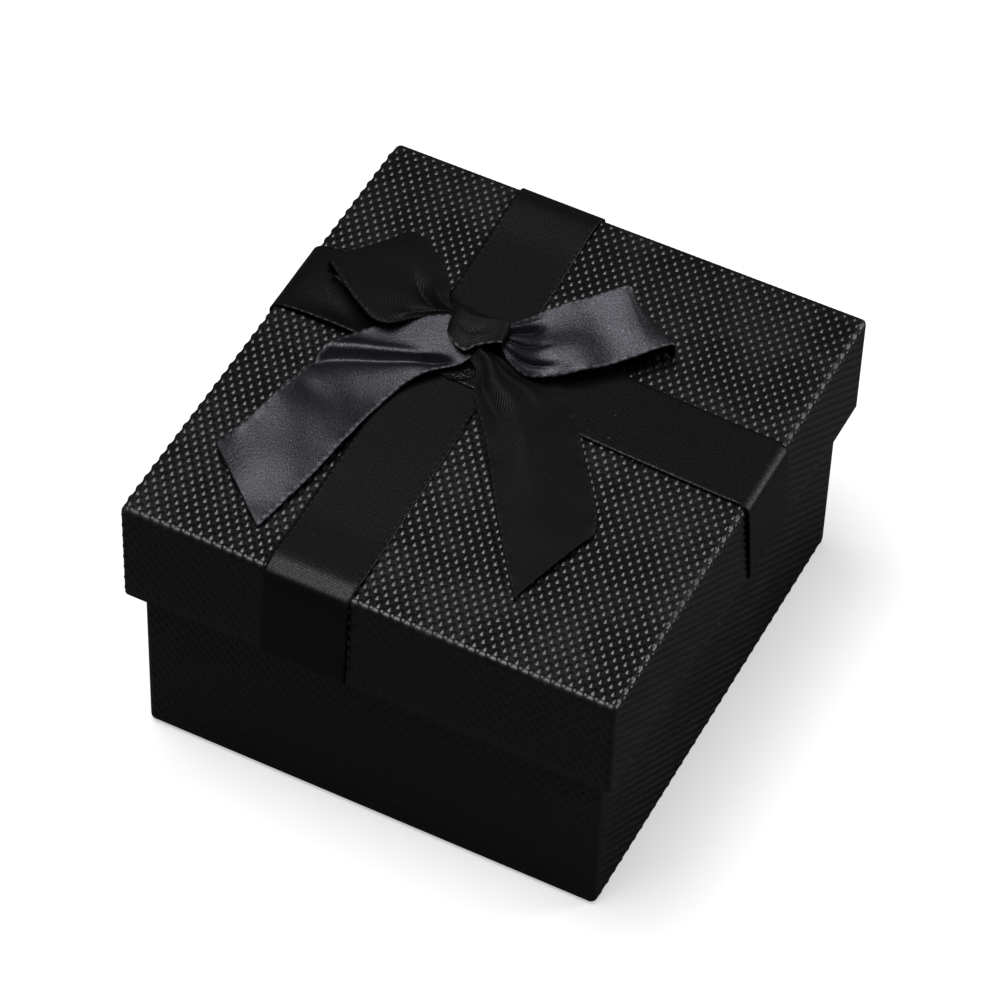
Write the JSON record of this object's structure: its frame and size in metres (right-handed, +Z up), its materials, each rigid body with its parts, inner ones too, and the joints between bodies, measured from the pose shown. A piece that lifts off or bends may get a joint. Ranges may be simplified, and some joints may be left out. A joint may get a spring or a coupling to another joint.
{
  "type": "jewelry gift box",
  "caption": "Black embossed gift box: a tray with a loose jewel pillow under a telescoping lid, satin ribbons crossed over the lid and tied off with a bow.",
  "frame": {"origin": "middle of the underside, on the table", "axes": "+Z up, -Y the front, +X the right; the box's long side runs along Y"},
  "size_m": [0.0864, 0.0934, 0.0604],
  "materials": {
    "tray_board": "matt greyboard, dyed dark",
    "stay_tape": "gummed paper tape",
    "embossed_paper": "black paper embossed with small dots",
    "plain_paper": "plain matt black paper",
    "pillow_cloth": "black velvet",
    "wadding": "white polyester wadding",
    "lid_board": "matt greyboard, dyed dark",
    "satin_ribbon": "black satin",
    "clear_tape": "clear double-sided tape",
    "hot_glue": "cured hot glue"
  },
  "bodies": {
    "tray": {"base_board": "tray_board", "base_corner_stays": "stay_tape", "base_wrap": "embossed_paper", "base_bottom_sheet": "plain_paper", "base_liner": "plain_paper"},
    "pillow": {"pillow_cover": "pillow_cloth", "pillow_filling": "wadding"},
    "lid": {"lid_board": "lid_board", "lid_corner_stays": "stay_tape", "lid_wrap": "embossed_paper", "lid_liner": "plain_paper", "lengthwise_ribbon": "satin_ribbon", "crosswise_ribbon": "satin_ribbon", "ribbon_end_tapes": "clear_tape", "bow_glue": "hot_glue", "bow_left_tail": "satin_ribbon", "bow_right_tail": "satin_ribbon", "bow_left_loop": "satin_ribbon", "bow_right_loop": "satin_ribbon", "bow_knot": "satin_ribbon"}
  },
  "joints": [
    {"name": "lid_lift", "type": "slide", "parent": "tray", "child": "lid", "axis": [0, 0, 1], "range_m": [0, 0.1]},
    {"name": "pillow_lift", "type": "slide", "parent": "tray", "child": "pillow", "axis": [0, 0, 1], "range_m": [0, 0.06]}
  ],
  "couplings": [
    {"joint": "pillow_lift", "follows": "lid_lift", "ratio": 0.6}
  ]
}
